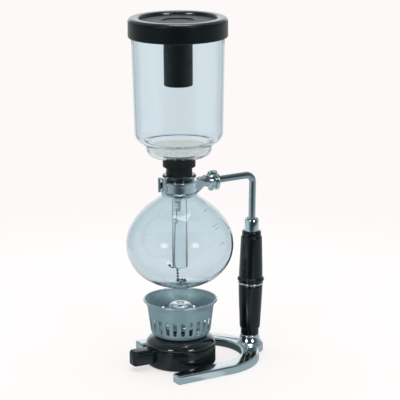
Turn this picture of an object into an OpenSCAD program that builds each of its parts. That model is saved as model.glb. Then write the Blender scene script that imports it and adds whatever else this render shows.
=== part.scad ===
// Table-top siphon coffee maker.
// A glass funnel with a sprung cloth filter stands in a glass bulb, which a split clamp holds on a
// handled stand, over a glass spirit lamp with a slotted wind guard.
// Origin: on the axis of the glass, at table level. +Z is up and +X points at the handle.

/* [Base] */
// Height of the horseshoe base
base_h = 8; // [7:0.5:10]
// Centre of the base's round end, in front of the handle
ring_x = 22; // [20:0.5:24]
// Inner radius of the base's round end
ring_r_in = 39.5; // [38.5:0.5:41]
// Outer radius of the base's round end
ring_r_out = 56.4; // [54:0.2:58]
// Distance from the glass axis back to the toe of the base's longer leg
toe_x = 32.5; // [28:0.5:36]
// Distance from the glass axis back to the toe of the base's shorter leg
short_toe_x = 21; // [18:0.5:26]
// Half of the inner width of the base at its toes
toe_y_in = 45.5; // [43:0.5:48]
// Half of the outer width of the base at its toes
toe_y_out = 59.2; // [57:0.2:61]
// Radius of the boss under the handle
boss_r = 13.4; // [12:0.2:14]

/* [Handle] */
// Distance from the glass axis to the handle's foot
post_x = 75.8; // [74:0.2:78]
// Lean of the handle away from the glass, in degrees
post_lean = 1.2; // [0:0.1:2]
// Height of the lower grip's foot
grip_z0 = 17.2; // [16:0.2:19]
// Height of the metal ring between the grips
grip_ring_z = 67.8; // [65:0.2:70]
// Thickness of the metal ring between the grips
grip_ring_h = 2.6; // [2:0.2:4]
// Radius of the metal ring between the grips
grip_ring_r = 12.6; // [12:0.2:13.4]
// Height of the upper grip's top
grip_z1 = 121.4; // [118:0.2:125]
// Height of the ferrule on top of the grips
ferrule_h = 12; // [10:0.2:14]
// Radius of the ferrule
ferrule_r = 6.95; // [6:0.05:7.5]

/* [Arm] */
// Height at which the arm's axis meets the glass axis
arm_z = 175.8; // [175:0.2:177]
// Rise of the arm towards the handle, in degrees
arm_rise = 1.2; // [0:0.1:2]
// Radius of the bent pipe
pipe_r = 3.4; // [3:0.1:3.6]
// Radius of the pipe's bend, at its centre line
bend_r = 7.5; // [6:0.5:9]
// Place of the flange along the arm
flange_x = 38.3; // [38:0.1:40]
// Radius of the flange
flange_r = 9.8; // [9:0.1:10.5]

/* [Clamp] */
// Bottom of the clamp band
band_z0 = 166.8; // [166.6:0.1:168]
// Top of the clamp band
band_z1 = 181.5; // [180:0.2:182]
// Wall of the clamp band
band_wall = 2; // [1.6:0.1:2.4]
// Length of the wing nut's hub
nut_len = 7; // [6:0.5:8]
// Reach of the wing nut's ears from its axis
ear_reach = 10.2; // [9:0.2:11]

/* [Lower bulb] */
// Greatest radius of the bulb
bulb_r = 51.1; // [50:0.1:52]
// Height of the bulb's greatest width
bulb_mid_z = 119; // [118:0.5:120]
// Height of the bulb's lowest point
bulb_z0 = 77.5; // [76:0.5:79]
// Height of the bulb's rim
bulb_rim_z = 186.8; // [186:0.2:188]
// Outer radius of the bulb's neck
neck_r = 14.4; // [14.2:0.1:14.6]
// Wall of the bulb
bulb_wall = 1.8; // [1.4:0.1:1.8]

/* [Funnel] */
// Height of the funnel's rim
funnel_top_z = 330; // [328:0.5:331]
// Outer radius of the funnel at its rim
funnel_r_top = 43.8; // [43:0.1:44]
// Outer radius of the funnel above its bottom corner
funnel_r_low = 41.7; // [41:0.1:42]
// Outer radius of the bowl under the funnel
bowl_r = 31.2; // [30.6:0.1:31.6]
// Wall of the funnel
funnel_wall = 2; // [1.8:0.1:2.1]
// Outer radius of the stem
stem_r = 7.4; // [7.2:0.05:7.5]
// Wall of the stem
stem_wall = 1.3; // [1:0.1:1.4]
// Height of the stem's lower end
stem_z0 = 95.7; // [94:0.1:98]

/* [Filter] */
// Radius of the filter over its cloth
filter_r = 25.7; // [25:0.1:26]
// Top of the filter cloth
filter_top_z = 214.2; // [213.5:0.1:215]
// Thickness of the filter cloth
cloth_t = 0.8; // [0.6:0.1:1]
// Radius of the spring, at its wire's centre
spring_r = 3.1; // [2.8:0.1:3.2]
// Height of the spring's lower end
spring_z0 = 151; // [148:0.5:155]
// Turns of the spring
spring_turns = 24; // [16:1:26]
// Radius of the beads on the chain
bead_r = 1.3; // [1.1:0.05:1.4]

/* [Lid] */
// Height of the lid's top
lid_top_z = 336; // [335:0.5:337]
// Height of the lid's lower edge
lid_z0 = 317.5; // [316:0.5:319]
// Radius of the lid
lid_r = 46.6; // [46.4:0.1:48]
// Radius of the recess in the lid's top
lid_recess_r = 36.4; // [34:0.2:38]
// Outer radius of the stem socket
socket_r = 13.9; // [13:0.1:14.2]
// Height of the stem socket's lower end
socket_z0 = 272; // [270:0.5:276]

/* [Lamp] */
// Radius of the lamp's holder
holder_r = 33.5; // [33:0.1:34]
// Height of the lamp's holder
holder_h = 19.4; // [19:0.1:20]
// Reach of the holder's tab from the lamp's axis
tab_reach = 53; // [50:0.5:56]
// Width of the holder's tab
tab_w = 14; // [12:0.5:16]
// Radius of the glass vessel at its shoulder
vessel_r = 33.2; // [32.8:0.1:33.4]

/* [Wind guard] */
// Height of the wind guard's rim
guard_top_z = 64.6; // [63:0.2:66]
// Radius of the wind guard's rolled rim, to the centre of its roll
guard_rim_r = 34.8; // [34.4:0.1:35.2]
// Number of air slots
slots = 24; // [20:1:26]
// Width of an air slot
slot_w = 3.6; // [3:0.1:4]
// Radius of the wick holder's brim
brim_r = 15.6; // [15:0.1:16]

/* [Hidden] */
$fn = 96;
seam = 0.05;                             // overlap where two lengths of one piece join
gap = 0.3;                               // air between pieces on different bodies
band_r_in = neck_r + 0.1;                // the band closes on the neck
band_r = band_r_in + band_wall;
neck_bore_r = neck_r - bulb_wall;
stem_bore_r = stem_r - stem_wall;
guard_z0 = 29.4;                         // underside of the wind guard, on the lamp's shoulder
guard_wall = 0.9;
ferrule_z1 = grip_z1 + ferrule_h;
rod_r = 2.4;                             // threaded rod through the grips
rod_z0 = 3;
upper_grip_z0 = grip_ring_z + grip_ring_h;
split = 0.35;                            // half of the slit between the clamp halves
cone_r = 5;                              // split screw cone that the wing nut draws together
ear_r = 3.6;                             // rounding of the wing nut's ears
cone_x = band_r + 9;                     // where the cone's lug ends, along the arm
nut_x0 = flange_x - 1.4 - nut_len;       // wing nut's inner end, along the arm
fork_z0 = 171.6;                         // fork at the hinge side of the clamp's front half
fork_z1 = 185.2;
hook_turn = 153;                         // the hook clips over the stem's rim on this side
plate_z0 = 208.4;
plate_z1 = filter_top_z - cloth_t;

// Where the post's axis and the arm's axis cross, and the centre of the pipe's bend
post_up = [sin(post_lean), cos(post_lean)];
arm_out = [cos(arm_rise), sin(arm_rise)];
cross_t = (post_x + arm_z * tan(post_lean)) / (arm_out[0] - arm_out[1] * tan(post_lean));
cross_pt = [0, arm_z] + cross_t * arm_out;
bend_turn = 90 + arm_rise + post_lean;
bend_t = bend_r * tan(bend_turn / 2);
bend_c = cross_pt - bend_t * arm_out + bend_r * [arm_out[1], -arm_out[0]];
post_len_z = cross_pt[1] / cos(post_lean) - bend_t;

// Hand-chosen route of the retaining wire from the band's top edge to the screw cone
WIRE_ROUTE = [[14.5, -6, 180.6], [17.5, -7, 183.2], [20.5, -6.8, 182.8], [23, -6.2, 184],
              [25.5, -5.8, 182.6], [27.8, -4.8, 181.8], [28.9, -3, 180.4]];

// Centres of the beads: down from the hook, then in a small heap on the floor of the bulb
function on_ring(r, a) = [r * cos(a), r * sin(a)];
chain_drop = [for (i = [0:3]) [-2.2 + 0.1 * i, 1.2, 92.1 - 3.1 * i]];
chain_heap = [for (i = [0:6]) let (p = on_ring(3.9, 150 - 47 * i))
    [p[0] + 1.2, p[1] - 0.4, 81 + 0.28 * (i % 2)]];
CHAIN = concat(chain_drop, chain_heap);

// ---------- shared shapes ----------

function arc(c, r, a0, a1, n = 8) =
    [for (i = [0:n]) let (a = a0 + (a1 - a0) * i / n) [c[0] + r * cos(a), c[1] + r * sin(a)]];

function oval(c, rx, ry, a0, a1, n = 12) =
    [for (i = [0:n]) let (a = a0 + (a1 - a0) * i / n) [c[0] + rx * cos(a), c[1] + ry * sin(a)]];

function backwards(list) = [for (i = [len(list) - 1:-1:0]) list[i]];

// Turns a closed outline of [radius, height] points about the glass axis
module lathe(outline) {
    rotate_extrude() polygon(outline);
}

// A ring of height h with its bore
module ring(r_out, r_in, h) {
    difference() {
        cylinder(r = r_out, h = h);
        translate([0, 0, -1]) cylinder(r = r_in, h = h + 2);
    }
}

// Places children on the leaning axis of the handle, at a height along it
module on_post(z) {
    translate([post_x, 0, 0]) rotate([0, post_lean, 0]) translate([0, 0, z]) children();
}

// Places children on the arm's axis with +Z along the arm, at a distance from the glass axis
module on_arm(x) {
    translate([0, 0, arm_z]) rotate([0, 90 - arm_rise, 0]) translate([0, 0, x]) children();
}

function unit(v) = v / norm(v);
function tangent(path, i) = unit(path[min(i + 1, len(path) - 1)] - path[max(i - 1, 0)]);

// A round wire swept along a path; refs holds one side direction for each point, and r is one
// radius or one for each point
module wire(path, refs, r, sides = 8) {
    n = len(path);
    radii = is_list(r) ? r : [for (p = path) r];
    pts = [for (i = [0:n - 1])
        let (t = tangent(path, i), a = unit(refs[i] - (refs[i] * t) * t), b = cross(t, a))
        for (j = [0:sides - 1]) path[i] + radii[i] * (cos(360 * j / sides) * a + sin(360 * j / sides) * b)];
    walls = [for (i = [0:n - 2], j = [0:sides - 1], half = [0, 1])
        let (k = (j + 1) % sides, a = i * sides, b = (i + 1) * sides)
        half == 0 ? [a + j, b + j, b + k] : [a + j, b + k, a + k]];
    caps = [[for (j = [0:sides - 1]) j], [for (j = [sides - 1:-1:0]) (n - 1) * sides + j]];
    polyhedron(points = pts, faces = concat(walls, caps), convexity = 10);
}

function same_ref(path, ref) = [for (p = path) ref];

// ---------- stand ----------

// Plan of one leg of the horseshoe, from the round end to its toe; side 1 is the shorter leg, -1 the longer
module leg_plan(side) {
    toe = side > 0 ? short_toe_x : toe_x;
    along = (toe + ring_x - 2) / (toe_x + ring_x - 2);    // share of the full leg that this one reaches
    y_in = ring_r_in + along * (toe_y_in - ring_r_in);
    y_out = ring_r_out + along * (toe_y_out - ring_r_out);
    polygon([[ring_x - 2, side * ring_r_in], [ring_x - 2, side * ring_r_out],
             [-toe + 1.5, side * y_out], [-toe, side * (y_out - 1.5)],
             [-toe, side * (y_in + 1.5)], [-toe + 1.5, side * y_in]]);
}

// Plan of the horseshoe's round end
module ring_plan() {
    intersection() {
        translate([ring_x, 0]) difference() {
            circle(r = ring_r_out);
            circle(r = ring_r_in);
        }
        translate([ring_x - 2, -100]) square([100, 200]);
    }
}

module base_frame() {
    dome_z1 = grip_z0 - 0.6;
    dome = [[13.2, base_h - 1], [13, base_h - 0.2], [12.2, base_h + 0.5], [11.2, base_h + 1.4],
            [10.3, base_h + 2.9], [9.6, base_h + 5], [9.1, dome_z1 - 1], [8.9, dome_z1]];
    color("lightslategray") difference() {
        union() {
            linear_extrude(base_h) {
                leg_plan(1);
                leg_plan(-1);
                ring_plan();
            }
            translate([post_x, 0, 0]) cylinder(r = boss_r, h = base_h);
            translate([post_x, 0, 0]) rotate_extrude()
                polygon(concat([[0, base_h - 1]], dome, [[0, dome_z1]]));
        }
        translate([ring_x, 0, -1]) cylinder(r = ring_r_in, h = base_h + 2);
        on_post(-3) cylinder(r = rod_r + 0.1, h = 60);
        translate([post_x, 0, -1]) cylinder(r = 6.6, h = rod_z0 + 4.2);
    }
}

module base_nut() {
    color("silver") on_post(rod_z0 - 0.6) difference() {
        cylinder(r = 4.6, h = 3.6, $fn = 6);
        translate([0, 0, -1]) cylinder(r = rod_r + 0.02, h = 6);
    }
}

module handle_rod() {
    color("silver") on_post(rod_z0 - 1.2) cylinder(r = rod_r, h = grip_z1 - rod_z0 + 1);
}

module lower_grip() {
    body = [[8.8, grip_z0], [8.8, 23.2], [9.7, 23.8], [10.1, 25.4],
            [10.8, 42], [11.5, 56], [11.8, grip_ring_z - 0.6], [11.2, grip_ring_z]];
    color([0.1, 0.12, 0.12]) on_post(0)
        rotate_extrude() polygon(concat([[rod_r + 0.1, grip_z0]], body, [[rod_r + 0.1, grip_ring_z]]));
}

module grip_ring() {
    color("silver") on_post(grip_ring_z) difference() {
        rotate_extrude() polygon(concat([[0, 0], [grip_ring_r - 1.3, 0]],
            arc([grip_ring_r - 1.3, grip_ring_h / 2], grip_ring_h / 2, -90, 90, 8), [[0, grip_ring_h]]));
        translate([0, 0, -1]) cylinder(r = rod_r + 0.1, h = grip_ring_h + 2);
    }
}

module upper_grip() {
    z0 = upper_grip_z0;
    body = concat([[12, z0]], arc([10.9, z0 + 2.5], 2.2, -60, 60, 6),
        [[11.7, z0 + 5.2], [11.6, 80], [11.1, 92], [10.7, 104], [10.2, grip_z1 - 6.4], [10, grip_z1 - 5.8],
         [9.4, grip_z1 - 5.4], [9.3, grip_z1 - 0.8], [8.8, grip_z1]]);
    color([0.1, 0.12, 0.12]) on_post(0)
        rotate_extrude() polygon(concat([[rod_r + 0.1, z0]], body, [[rod_r + 0.1, grip_z1]]));
}

module ferrule() {
    color("silver") on_post(grip_z1) difference() {
        cylinder(r = ferrule_r, h = ferrule_h);
        translate([0, 0, -1]) cylinder(r = pipe_r + 0.1, h = ferrule_h + 2);
        translate([0, 0, ferrule_h - 4]) cylinder(r = ferrule_r - 1.1, h = 5);
    }
}

module arm_pipe() {
    drawn = 0.02;                        // bending draws the pipe a hair thinner
    color("silver") {
        on_post(grip_z1 + 0.6) cylinder(r = pipe_r + drawn, h = post_len_z - grip_z1 - 0.6 + seam);
        on_arm(flange_x + 1) cylinder(r = pipe_r + drawn, h = cross_t - bend_t - flange_x - 1 + seam);
        translate([bend_c[0], 0, bend_c[1]]) rotate([90, 0, 0]) rotate([0, 0, -post_lean])
            rotate_extrude(angle = bend_turn) translate([bend_r, 0]) circle(r = pipe_r, $fn = 48);
    }
}

module arm_flange() {
    color("silver") on_arm(flange_x - 1) difference() {
        rotate_extrude() polygon([[0, 0], [flange_r - 0.6, 0], [flange_r, 0.6], [flange_r, 1.4],
                                  [flange_r - 0.6, 2], [0, 2]]);
        translate([0, 0, -1]) cylinder(r = rod_r + 0.1, h = 2);
    }
}

// The screw that joins the pipe to the split cone of the clamp
module clamp_screw() {
    color("silver") on_arm(band_r + 1.6) cylinder(r = rod_r, h = flange_x - band_r - 1.6);
}

module band_section() {
    h = band_z1 - band_z0;
    rib = band_r + 1.1;                  // radius over the rolled edges
    polygon([[band_r_in, 3.4], [band_r_in + 2.2, 0], [band_r + 0.3, 0], [rib, 1], [rib, 2.9],
             [band_r, 4.1], [band_r, h - 4.1], [rib, h - 2.9], [rib, h - 1],
             [band_r + 0.3, h], [band_r_in, h]]);
}

// Everything both clamp halves have in common, before it is cut in two along the arm
module clamp_whole() {
    difference() {
        union() {
            translate([0, 0, band_z0]) rotate_extrude() band_section();
            hull() {
                translate([band_r - 1, -5, band_z0 + 0.4]) cube([1.2, 10, band_z1 - band_z0 - 0.8]);
                on_arm(cone_x) cylinder(r = cone_r, h = seam, $fn = 32);
            }
            on_arm(cone_x) cylinder(r = cone_r, h = nut_x0 + nut_len - 1 - cone_x);
        }
        translate([0, 0, band_z0 - 5]) cylinder(r = band_r_in, h = 30);
        on_arm(band_r - 3) cylinder(r = rod_r + 0.1, h = 30);
    }
}

module half_space(side) {
    translate([-40, side > 0 ? split : -60 - split, 150]) cube([100, 60, 60]);
}

// Front half: its end is folded into a fork that the back half's tongue passes through
module clamp_front() {
    color("silver") {
        intersection() {
            clamp_whole();
            half_space(-1);
        }
        difference() {
            translate([-19, -5, fork_z0]) cube([1.6, 8, fork_z1 - fork_z0]);
            translate([-20, -2.2, fork_z0 + 1.8]) cube([4, 8, fork_z1 - fork_z0 - 3.6]);
        }
        translate([-18.2, -5, fork_z0]) cube([3.9, 1.4, band_z1 - fork_z0]);
    }
}

// Back half: its tongue ends in a tee that bears on the fork
module clamp_back() {
    tee_x = -20.6;
    tee_r = 1.3;
    tee_z0 = fork_z0 + 0.8;
    tee_h = fork_z1 - fork_z0 - 1.6;
    color("silver") {
        intersection() {
            clamp_whole();
            half_space(1);
        }
        translate([tee_x, 0.5, fork_z0 + 2.4]) cube([5.9, 1.4, band_z1 - fork_z0 - 3]);
        translate([tee_x, 1.2, tee_z0]) cylinder(r = tee_r, h = tee_h, $fn = 32);
        for (z = [tee_z0, tee_z0 + tee_h]) translate([tee_x, 1.2, z]) sphere(r = tee_r, $fn = 32);
    }
}

module retaining_wire() {
    color("dimgray") wire(WIRE_ROUTE, same_ref(WIRE_ROUTE, [0, 0, 1]), 0.4, 6);
}

module ear(side) {
    rotate([0, 0, side > 0 ? 0 : 180]) {
        translate([ear_reach - ear_r, 0, nut_len / 2]) rotate([90, 0, 0])
            translate([0, 0, -1.2]) cylinder(r = ear_r, h = 2.4, $fn = 48);
        translate([cone_r + 0.6, -1.2, nut_len / 2 - 2.4]) cube([2.4, 2.4, 4.8]);
    }
}

module wing_nut() {
    color("silver") on_arm(nut_x0) difference() {
        union() {
            rotate_extrude() polygon([[0, 0], [6.2, 0], [6.7, 0.8], [7, nut_len - 0.8],
                                      [6.6, nut_len], [0, nut_len]]);
            ear(1);
            ear(-1);
        }
        translate([0, 0, -1]) cylinder(r = cone_r + 0.08, h = nut_len + 2);
    }
}

// ---------- lower bulb ----------

// A smooth line through points, and the same line moved to its left by t
function spline(p, n = 3) = concat([for (i = [0:len(p) - 2], k = [0:n - 1])
    let (t = k / n, a = p[max(i - 1, 0)], b = p[i], c = p[i + 1], d = p[min(i + 2, len(p) - 1)])
    0.5 * (2 * b + (c - a) * t + (2 * a - 5 * b + 4 * c - d) * t * t
           + (3 * b - a - 3 * c + d) * t * t * t)], [p[len(p) - 1]]);
function inset(p, t) = [for (i = [0:len(p) - 1])
    let (d = tangent(p, i)) [max(p[i][0] - t * d[1], 0), p[i][1] + t * d[0]]];

// Outer line of the bulb: a full, rounded floor, then shoulders that run nearly straight to the neck
fullness = 2.15;                         // 2 is an ellipse
bulb_floor = [for (a = [0:5:85])
    [bulb_r * pow(sin(a), 2 / fullness),
     bulb_mid_z - (bulb_mid_z - bulb_z0) * pow(cos(a), 2 / fullness)]];
bulb_shoulder = spline([[bulb_r, bulb_mid_z], [50, 128], [46.5, 137], [41.2, 145], [33.8, 153.1],
    [24.6, 160.7], [20, 164.2], [17, 165.9], [15.4, 167.5], [14.6, 169.3], [neck_r, 171]]);
BULB_LINE = concat(bulb_floor, bulb_shoulder);

module lower_bulb() {
    lip = arc([neck_r + 0.2, bulb_rim_z - 1.5], 1.5, -60, 90, 8);
    outline = concat(BULB_LINE, [[neck_r, bulb_rim_z - 3.6]], lip,
        [[neck_bore_r, bulb_rim_z]],
        backwards(inset(BULB_LINE, bulb_wall)));
    color([0.75, 0.85, 0.9, 0.4]) lathe(outline);
}

// ---------- funnel and filter ----------

corner_r = 11;                           // bottom corner of the funnel's wide part
shelf_z = 217.3;                         // underside of the wide part
bowl_z0 = 204.6;                         // underside of the bowl
bowl_corner_r = 8.4;

// Wall line of the funnel, moved inwards by t, from the rim down to the stem's end
function funnel_line(t) = concat(
    [[funnel_r_top - t, funnel_top_z]],
    [for (p = arc([funnel_r_low - corner_r, shelf_z + corner_r], corner_r - t, 0, -78, 9)) p],
    [[bowl_r + 1.2 - t, shelf_z + t * 1.05], [bowl_r - t, shelf_z - 1.4 + t * 0.6]],
    [for (p = arc([bowl_r - bowl_corner_r, bowl_z0 + bowl_corner_r], bowl_corner_r - t, 0, -82, 9)) p],
    [[stem_r + 3 - t * 0.6, bowl_z0 - 0.6 + t]]);

module funnel() {
    outline = concat(funnel_line(0),
        [[stem_r, bowl_z0 - 2.6], [stem_r, stem_z0 + 0.5], [stem_r - 0.5, stem_z0],
         [stem_bore_r + 0.2, stem_z0], [stem_bore_r, stem_z0 + 0.4],
         [stem_bore_r, bowl_z0 - 1.4 + funnel_wall * 0.7]],
        backwards(funnel_line(funnel_wall)));
    color([0.8, 0.88, 0.92, 0.4]) lathe(outline);
}

// Rubber plug between the stem and the bulb's neck
module gasket() {
    bore = stem_r + 0.02;
    color([0.08, 0.1, 0.1]) lathe([
        [bore, 173], [11, 173], [11.7, 174], [neck_bore_r - gap, bulb_rim_z],
        [12.5, 188.2], [12.3, 192.6], [13.6, 194], [15.1, 194.8], [15.5, 195.8], [15.5, 202],
        [14.9, 203], [12, 203.2], [bore + 1.2, 201.6], [bore, 201.2]]);
}

// Pressed metal dish inside the cloth
module filter_plate() {
    r = filter_r - cloth_t;
    color("silver") difference() {
        lathe([[0, plate_z0], [r - 3.2, plate_z0], [r, plate_z0 + 2.4], [r, plate_z1], [0, plate_z1]]);
        translate([0, 0, plate_z0 + 1]) cylinder(r = r - 3, h = plate_z1 - plate_z0 - 2);
        translate([0, 0, plate_z0 - 1]) cylinder(r = 2.1, h = plate_z1 - plate_z0 - 1);
    }
}

// Cloth stretched over the dish and gathered under it
module filter_cloth() {
    r = filter_r;
    ri = filter_r - cloth_t;
    color([0.72, 0.74, 0.7]) lathe([
        [0, plate_z1], [ri, plate_z1], [ri, plate_z0 + 2.4], [ri - 3.2, plate_z0],
        [15, plate_z0], [15, plate_z0 - cloth_t], [r - 3.4, plate_z0 - cloth_t],
        [r, plate_z0 + 2], [r, plate_z1], [r - 0.8, filter_top_z], [0, filter_top_z]]);
}

module filter_rivet() {
    color("silver") lathe([[0, 205.4], [1.9, 205.4], [2, plate_z0 + 1], [2, plate_z0 + 2.4],
                           [0, plate_z0 + 2.4]]);
}

spring_z1 = 205;
spring_wire_r = 0.35;
spring_steps = 8;                        // points on one turn

module filter_spring() {
    n = spring_turns * spring_steps;
    drift = -2.4;                        // the hook draws the spring's lower end to one side
    axis_at = function (f) drift * (1 - f) * on_ring(1, hook_turn + 180);
    path = [for (i = [0:n]) let (f = i / n, p = on_ring(spring_r, 360 * i / spring_steps), c = axis_at(f))
        [p[0] + c[0], p[1] + c[1], spring_z0 + (spring_z1 - spring_z0) * f]];
    refs = [for (i = [0:n]) let (p = on_ring(1, 360 * i / spring_steps)) [p[0], p[1], 0]];
    color("slategray") wire(path, refs, spring_wire_r, 5);
}

// Wires that lie in the upright plane of the hook: [distance from the axis, height]
function in_hook_plane(line) =
    [for (p = line) let (q = on_ring(p[0], hook_turn)) [q[0], q[1], p[1]]];

module plane_wire(line, r) {
    path = in_hook_plane(line);
    wire(path, same_ref(path, [-sin(hook_turn), cos(hook_turn), 0]), r, 8);
}

module pull_wire() {
    eye = arc([3.6, 141.2], 1.5, 60, 330, 10);
    color("slategray") plane_wire(concat([[2.6, 153], [2.9, 146], [3.7, 143.4]], eye,
        [[4.2, 138.5], [4.6, 128], [5, 112], [4.9, 101], [4.4, 97.8], [3.6, 96.4]]), 0.4);
}

// Steps along a bead to where its wire leaves it, in radii of the bead
bead_steps = [-0.96, -0.7, -0.3, 0, 0.3, 0.7, 0.9];
bead_radii = [for (f = bead_steps) bead_r * sqrt(1 - f * f)];
function bead_line(c, to) = [for (f = bead_steps) c + f * bead_r * unit(to)];

// Clip that holds the spring stretched: out under the stem's rim and up, with a bead at each end
module hook() {
    bend = [[6, 94.7], [7.6, 94.7], [9, 95.3]];
    line = concat(bead_line([3.2, 95.5], [2.7, -1.1]), bend, backwards(bead_line([10, 97], [-0.2, -0.6])));
    color("slategray") plane_wire(line, concat(bead_radii, [for (p = bend) 0.55], backwards(bead_radii)));
}

module link(from, to) {
    wire([from, to], same_ref([0, 1], [0.3, 0.9, 0.2]), 0.4, 6);
}

module bead_chain() {
    color("slategray") {
        for (p = CHAIN) translate(p) sphere(r = bead_r, $fn = 32);
        for (i = [0:len(CHAIN) - 2]) link(CHAIN[i], CHAIN[i + 1]);
        link([-2.8, 1.4, 94.5], CHAIN[0]);
    }
}

// ---------- lid ----------

module lid() {
    bore = socket_r - 2;
    skirt_in = funnel_r_top + 0.6;
    plate_z = lid_top_z - 5.6;           // underside of the lid's plate
    floor_z = lid_top_z - 3;             // floor of the recess
    color([0.1, 0.12, 0.12]) difference() {
        union() {
            lathe(concat([[0, plate_z], [skirt_in, plate_z], [skirt_in, lid_z0]],
                arc([lid_r - 1.4, lid_z0 + 1.4], 1.4, -90, 0, 4),
                arc([lid_r - 3.6, lid_top_z - 3.6], 3.6, 0, 90, 8),
                [[lid_recess_r + 1, lid_top_z], [lid_recess_r, lid_top_z - 0.8],
                 [lid_recess_r, floor_z], [0, floor_z]]));
            translate([0, 0, socket_z0])
                cylinder(r1 = socket_r - 0.4, r2 = socket_r, h = plate_z - socket_z0 + seam);
        }
        translate([0, 0, socket_z0 - 1]) cylinder(r = bore, h = plate_z - socket_z0);
        translate([0, 0, floor_z - 1]) cylinder(r = 15.2, h = 3);
    }
}

// ---------- lamp ----------

module lamp_holder() {
    color([0.1, 0.12, 0.12]) difference() {
        union() {
            lathe(concat([[0, 0], [holder_r - 3.5, 0]], arc([holder_r - 2.6, 3], 2.6, -70, 0, 5),
                [[holder_r, holder_h - 0.8], [holder_r - 0.8, holder_h], [0, holder_h]]));
            translate([-tab_reach + 1.4, -tab_w / 2, 5.2])
                cube([tab_reach - holder_r + 4, tab_w, holder_h - 5.2]);
            translate([-tab_reach, -tab_w / 2 + 1.4, 5.2]) cube([3, tab_w - 2.8, holder_h - 5.2]);
        }
        translate([0, 0, 2.6]) cylinder(r = holder_r - 2.3, h = holder_h);
    }
}

module lamp_vessel() {
    r_in_holder = holder_r - 2.6;
    shoulder = oval([16, holder_h + 0.6], vessel_r - 16, 9.2, 6, 76, 9);
    inside = oval([15, holder_h + 1], vessel_r - 17.4, 7, 76, 6, 9);
    color([0.8, 0.88, 0.92, 0.4]) lathe(concat(
        [[0, 3], [r_in_holder - 3, 3], [r_in_holder, 6], [r_in_holder, holder_h + 0.1],
         [vessel_r, holder_h + 0.1]], shoulder,
        [[13.4, 29.8], [12.9, 33.4], [10.6, 33.4], [10.6, 28.4]], inside,
        [[r_in_holder - 2, holder_h - 2], [r_in_holder - 2, 7], [r_in_holder - 4, 5], [0, 5]]));
}

// Soft washer between the vessel's neck and the wick holder
module vessel_seal() {
    color("dimgray") translate([0, 0, 33.4]) ring(13, 9.9, 1);
}

module wind_guard() {
    w = guard_wall;
    side = [[28.4, 34], [31.4, 57], [32.2, 59.4], [33.6, 61.8]];
    color("lightslategray") difference() {
        lathe(concat(
            [[19, guard_z0 + 0.2], [24.6, guard_z0 + 0.2]],
            arc([24.4, guard_z0 + 3.8], 3.6, -80, -5, 6), side,
            arc([guard_rim_r, guard_top_z - 0.9], 0.9, -110, 130, 8),
            [for (i = [3:-1:0]) [side[i][0] - w, side[i][1] + 0.2]],
            arc([24.4, guard_z0 + 3.8], 3.6 - w, -5, -80, 6),
            [[24.6, guard_z0 + 0.2 + w], [19, guard_z0 + 0.2 + w]]));
        for (i = [0:slots - 1]) rotate([0, 0, 360 * (i + 0.5) / slots]) {
            translate([20, -slot_w / 2, 36.4]) cube([16, slot_w, 10.3]);
            for (z = [36.4, 46.7]) translate([20, 0, z]) rotate([0, 90, 0])
                cylinder(r = slot_w / 2, h = 16, $fn = 24);
        }
    }
}

module wick_holder() {
    top = arc([6.4, 54.4], 5.8, 10, 100, 9);
    color("silver") lathe(concat(
        [[5.2, 26], [9.6, 26], [9.6, 34.6], [13.6, 34.6], [13.6, 36], [11, 37], [10.6, 50.6],
         [brim_r - 0.4, 51.9], [brim_r, 52.5], [brim_r - 0.4, 53.1], [12.6, 53.2]], top,
        [[3.2, 59.4], [3.05, 55], [5.2, 51.6]]));
}

module wick_tube() {
    color("gray") translate([0, 0, 22]) ring(2.95, 2.45, 36.4);
}

module wick() {
    color([0.9, 0.88, 0.82]) translate([0, 0, 9]) cylinder(r = 2.4, h = 50.6);
}

base_frame();
base_nut();
handle_rod();
lower_grip();
grip_ring();
upper_grip();
ferrule();
arm_pipe();
arm_flange();
clamp_screw();
clamp_front();
clamp_back();
retaining_wire();
wing_nut();
lower_bulb();
funnel();
gasket();
filter_plate();
filter_cloth();
filter_rivet();
filter_spring();
pull_wire();
hook();
bead_chain();
lid();
lamp_holder();
lamp_vessel();
vessel_seal();
wind_guard();
wick_holder();
wick_tube();
wick();
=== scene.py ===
import math
import bmesh
import bpy
from mathutils import Matrix, Vector


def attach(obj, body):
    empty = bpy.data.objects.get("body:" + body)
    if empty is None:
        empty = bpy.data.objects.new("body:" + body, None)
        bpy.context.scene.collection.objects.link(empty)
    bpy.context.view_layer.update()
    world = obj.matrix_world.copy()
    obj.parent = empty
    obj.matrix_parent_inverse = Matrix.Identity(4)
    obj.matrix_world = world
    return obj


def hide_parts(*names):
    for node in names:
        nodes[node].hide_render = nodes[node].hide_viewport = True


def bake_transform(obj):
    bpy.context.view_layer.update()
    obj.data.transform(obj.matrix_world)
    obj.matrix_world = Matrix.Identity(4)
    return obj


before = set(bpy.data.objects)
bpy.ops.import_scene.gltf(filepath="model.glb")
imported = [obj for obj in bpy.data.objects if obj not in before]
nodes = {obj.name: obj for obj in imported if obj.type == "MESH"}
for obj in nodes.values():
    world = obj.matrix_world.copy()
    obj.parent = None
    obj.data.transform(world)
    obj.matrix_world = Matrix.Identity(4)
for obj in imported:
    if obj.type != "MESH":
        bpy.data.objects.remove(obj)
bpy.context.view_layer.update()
MM = 0.001

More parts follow.
